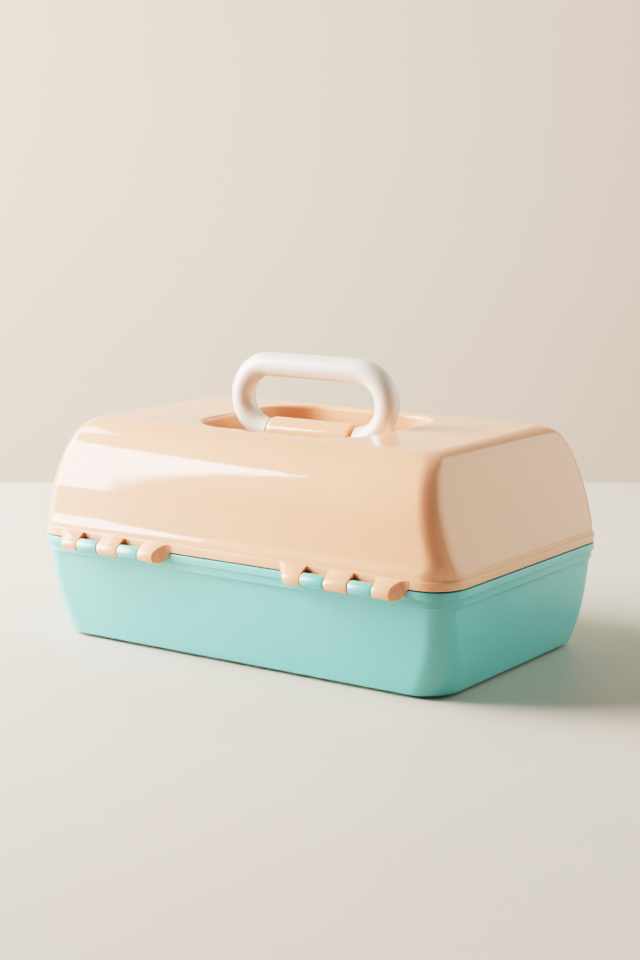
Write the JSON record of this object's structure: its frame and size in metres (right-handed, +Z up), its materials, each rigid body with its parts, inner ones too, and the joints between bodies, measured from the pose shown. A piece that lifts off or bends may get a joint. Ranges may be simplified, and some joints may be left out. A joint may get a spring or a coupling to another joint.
{
  "type": "sewing box with trays",
  "caption": "Moulded sewing box with a domed hinged lid, fold-flat ring handle, front latch and stepped trays that rise as the lid opens.",
  "frame": {"origin": "centre of the box's footprint on its underside; hinge knuckles and latch reach equally far from it", "axes": "+Z up, +X along the box, +Y towards the two hinges, so the latch is on the -Y side"},
  "size_m": [0.33, 0.2254, 0.1932],
  "materials": {
    "peach_plastic": "glossy moulded plastic, pale peach",
    "mint_plastic": "satin-gloss moulded plastic, mint green",
    "white_plastic": "smooth white plastic, soft gloss",
    "tray_plastic": "satin off-white moulded plastic",
    "steel": "plain bright steel"
  },
  "bodies": {
    "base": {"base_shell": "mint_plastic", "hinge_pin_left": "steel", "hinge_pin_right": "steel", "arm_pivot_left": "steel", "arm_pivot_right": "steel"},
    "lid": {"lid_shell": "peach_plastic", "handle_clamp": "peach_plastic", "clamp_screw_1": "steel", "clamp_screw_2": "steel", "clamp_screw_3": "steel", "clamp_screw_4": "steel", "lid_bracket_left": "tray_plastic", "lid_bracket_right": "tray_plastic", "bracket_screw_left_1": "steel", "bracket_screw_left_2": "steel", "bracket_screw_right_1": "steel", "bracket_screw_right_2": "steel", "latch_pin": "steel"},
    "handle": {"handle": "white_plastic"},
    "latch": {"latch": "white_plastic"},
    "tray_arms": {"tray_arm_left": "tray_plastic", "tray_arm_right": "tray_plastic"},
    "upper_tray": {"upper_tray": "tray_plastic", "upper_rivet_front_left": "steel", "upper_rivet_front_right": "steel", "upper_rivet_rear_left": "steel", "upper_rivet_rear_right": "steel"},
    "lower_tray": {"lower_tray": "tray_plastic", "lower_rivet_front_left": "steel", "lower_rivet_front_right": "steel", "lower_rivet_rear_left": "steel", "lower_rivet_rear_right": "steel"}
  },
  "joints": [
    {"name": "lid_hinge", "type": "hinge", "parent": "base", "child": "lid", "pos_m": [0, 0.1082, 0.0684], "axis": [-1, 0, 0], "range_deg": [0, 100]},
    {"name": "handle_pivot", "type": "hinge", "parent": "lid", "child": "handle", "pos_m": [0, 0.004, 0.1398], "axis": [1, 0, 0], "range_deg": [-90, 90]},
    {"name": "latch_pivot", "type": "hinge", "parent": "lid", "child": "latch", "pos_m": [0, -0.1082, 0.0795], "axis": [-1, 0, 0], "range_deg": [0, 110]},
    {"name": "tray_arm_pivot", "type": "hinge", "parent": "base", "child": "tray_arms", "pos_m": [0, -0.006, 0.06], "axis": [-1, 0, 0], "range_deg": [0, 100]},
    {"name": "upper_tray_pivot", "type": "hinge", "parent": "tray_arms", "child": "upper_tray", "pos_m": [0, -0.07643, 0.04503], "axis": [-1, 0, 0], "range_deg": [-100, 0]},
    {"name": "lower_tray_pivot", "type": "hinge", "parent": "tray_arms", "child": "lower_tray", "pos_m": [0, -0.04121, 0.05252], "axis": [-1, 0, 0], "range_deg": [-100, 0]}
  ],
  "couplings": [
    {"joint": "tray_arm_pivot", "follows": "lid_hinge", "ratio": 1},
    {"joint": "upper_tray_pivot", "follows": "lid_hinge", "ratio": -1},
    {"joint": "lower_tray_pivot", "follows": "lid_hinge", "ratio": -1}
  ]
}
